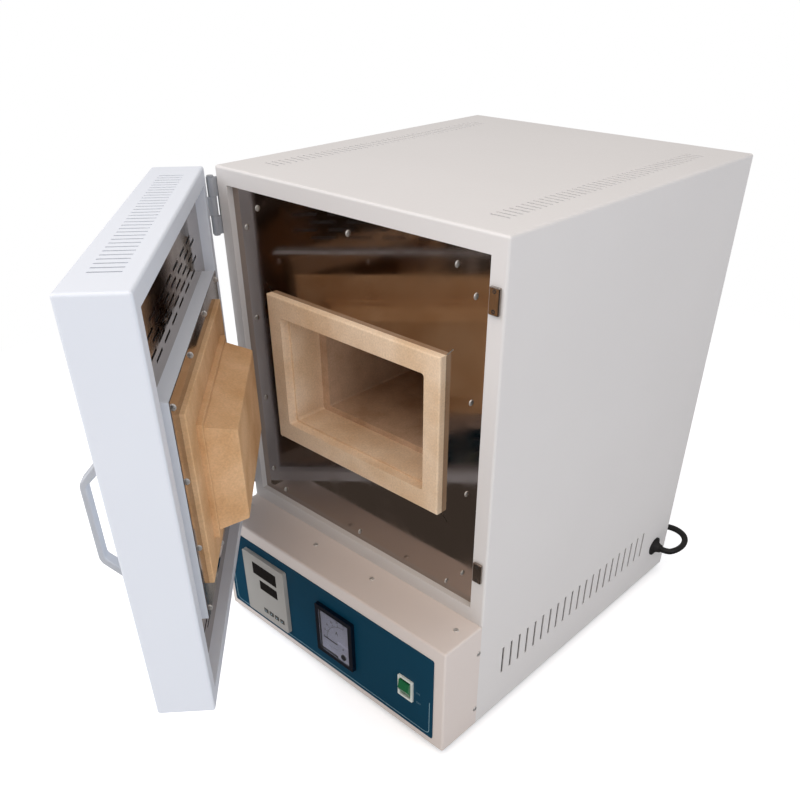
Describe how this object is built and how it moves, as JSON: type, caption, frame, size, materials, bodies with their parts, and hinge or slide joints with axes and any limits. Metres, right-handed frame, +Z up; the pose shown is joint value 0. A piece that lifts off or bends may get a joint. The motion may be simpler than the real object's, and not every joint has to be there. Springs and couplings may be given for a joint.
{
  "type": "muffle furnace",
  "caption": "Bench-top electric muffle furnace with a side-hung plug door, a refractory mouth and chamber, and a control box below the door.",
  "frame": {"origin": "on the floor, under the middle of the casing's footprint (the control box and the door stand out in front)", "axes": "+X to the right as one faces the door side, +Y to the back, +Z up"},
  "size_m": [0.5231, 1.1028, 0.64],
  "materials": {
    "casing_paint": "fine textured ivory powder coat",
    "door_paint": "fine textured ivory powder coat",
    "box_paint": "fine textured ivory powder coat",
    "panel_paint": "satin dark teal enamel",
    "mirror_steel": "mirror polished stainless",
    "plain_steel": "dull zinc plated",
    "screw_steel": "nickel plated",
    "hinge_steel": "satin steel",
    "catch_steel": "polished steel",
    "handle_metal": "satin anodised",
    "heating_alloy": "oxidised resistance alloy",
    "magnet": "sintered ferrite",
    "sink_aluminium": "extruded",
    "pin_brass": "turned brass",
    "collar_ceramic": "fired refractory, matte",
    "muffle_ceramic": "fired refractory, matte",
    "plug_ceramic": "fired refractory, matte",
    "porcelain": "glazed porcelain",
    "fibre": "ceramic fibre board",
    "rubber": "moulded black rubber",
    "cord_rubber": "extruded black rubber sheath",
    "tie_plastic": "nylon",
    "black_plastic": "moulded, matte",
    "bezel_plastic": "moulded warm grey, satin",
    "display_plastic": "smoked window",
    "key_plastic": "moulded keys",
    "meter_plastic": "moulded navy black",
    "dial_paint": "printed dial, matte",
    "clear_window": "clear window",
    "needle_paint": "black painted",
    "switch_plastic": "moulded pale",
    "rocker_plastic": "moulded green"
  },
  "bodies": {
    "cabinet": {"outer_casing": "casing_paint", "front_frame": "casing_paint", "facing_plate": "mirror_steel", "rear_cover": "casing_paint", "base_pan": "plain_steel", "shelf": "plain_steel", "control_box": "box_paint", "control_brackets": "plain_steel", "cabinet_screws": "screw_steel", "feet": "rubber", "mouth_collar": "collar_ceramic", "muffle": "muffle_ceramic", "heating_winding": "heating_alloy", "heater_leads": "heating_alloy", "lead_bushings": "porcelain", "insulation_top": "fibre", "insulation_bottom": "fibre", "insulation_sides": "fibre", "insulation_back": "fibre", "inner_case": "plain_steel", "thermocouple": "screw_steel", "heat_sink": "sink_aluminium", "thyristor_module": "black_plastic", "terminal_block": "black_plastic", "control_panel": "panel_paint", "controller_case": "black_plastic", "controller_bezel": "bezel_plastic", "display_windows": "display_plastic", "ammeter_case": "meter_plastic", "ammeter_dial": "dial_paint", "ammeter_window": "clear_window", "switch_case": "switch_plastic", "hinge_fixed_leaves": "hinge_steel", "hinge_pins": "hinge_steel", "catch_housings": "catch_steel", "catch_magnets": "magnet", "cord_gland": "rubber", "cord_tube": "cord_rubber", "cord_coil": "cord_rubber", "cord_tail": "cord_rubber", "coil_tie": "tie_plastic", "mains_plug": "cord_rubber", "plug_pins": "pin_brass"},
    "door": {"door_shell": "door_paint", "door_inner_plate": "mirror_steel", "door_box": "door_paint", "plug_frame": "mirror_steel", "door_screws": "screw_steel", "door_plug": "plug_ceramic", "door_insulation": "fibre", "door_handle": "handle_metal", "hinge_door_leaves": "hinge_steel"},
    "set_button": {"set_key": "key_plastic"},
    "shift_button": {"shift_key": "key_plastic"},
    "down_button": {"down_key": "key_plastic"},
    "up_button": {"up_key": "key_plastic"},
    "needle": {"ammeter_needle": "needle_paint"},
    "adjuster": {"zero_adjuster": "black_plastic"},
    "rocker": {"switch_rocker": "rocker_plastic"}
  },
  "joints": [
    {"name": "door_hinge", "type": "hinge", "parent": "cabinet", "child": "door", "pos_m": [-0.2245, -0.2485, 0.4], "axis": [0, 0, -1], "range_deg": [-42, 133]},
    {"name": "set_press", "type": "slide", "parent": "cabinet", "child": "set_button", "axis": [0, 1, 0], "range_m": [0, 0.0008], "stiffness_N_per_m": 300, "springref_m": -0.001},
    {"name": "shift_press", "type": "slide", "parent": "cabinet", "child": "shift_button", "axis": [0, 1, 0], "range_m": [0, 0.0008], "stiffness_N_per_m": 300, "springref_m": -0.001},
    {"name": "down_press", "type": "slide", "parent": "cabinet", "child": "down_button", "axis": [0, 1, 0], "range_m": [0, 0.0008], "stiffness_N_per_m": 300, "springref_m": -0.001},
    {"name": "up_press", "type": "slide", "parent": "cabinet", "child": "up_button", "axis": [0, 1, 0], "range_m": [0, 0.0008], "stiffness_N_per_m": 300, "springref_m": -0.001},
    {"name": "needle_swing", "type": "hinge", "parent": "cabinet", "child": "needle", "pos_m": [0.045, -0.3145, 0.0781], "axis": [0, 1, 0], "range_deg": [0, 90], "stiffness_Nm_per_rad": 0.00002, "springref_deg": -17.19},
    {"name": "zero_adjust", "type": "hinge", "parent": "cabinet", "child": "adjuster", "pos_m": [0.0462, -0.317, 0.0651], "axis": [0, 1, 0], "range_deg": [-20, 20]},
    {"name": "switch_tilt", "type": "hinge", "parent": "cabinet", "child": "rocker", "pos_m": [0.1575, -0.3115, 0.083], "axis": [-1, 0, 0], "range_deg": [0, 16]}
  ]
}
